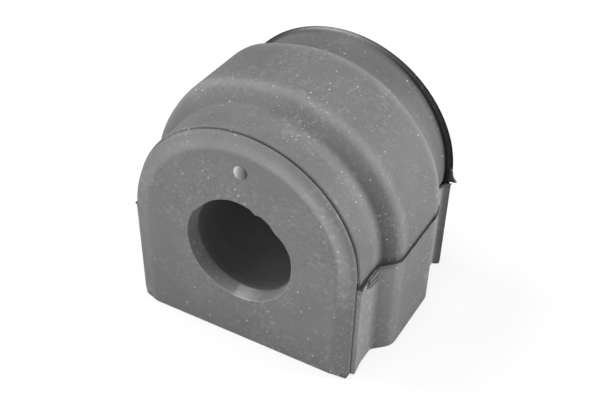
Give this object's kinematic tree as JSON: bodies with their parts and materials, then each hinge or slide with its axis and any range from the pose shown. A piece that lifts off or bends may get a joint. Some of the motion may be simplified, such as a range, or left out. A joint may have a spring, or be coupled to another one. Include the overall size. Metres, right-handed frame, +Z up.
{
  "type": "sway bar bushing",
  "caption": "D-shaped moulded rubber bushing with a flat base, an arched top, a raised bead round the middle and a bore for an anti-roll bar.",
  "frame": {"origin": "on the flat base, under the middle of the bushing", "axes": "+Y along the bar from the front face to the back face, +Z up from the flat base to the top of the arch, +X to the right seen from the front"},
  "size_m": [0.058, 0.0449, 0.0529],
  "materials": {
    "rubber": "matt moulded rubber with a dry grey bloom"
  },
  "bodies": {
    "root": {"bushing": "rubber"}
  },
  "joints": []
}
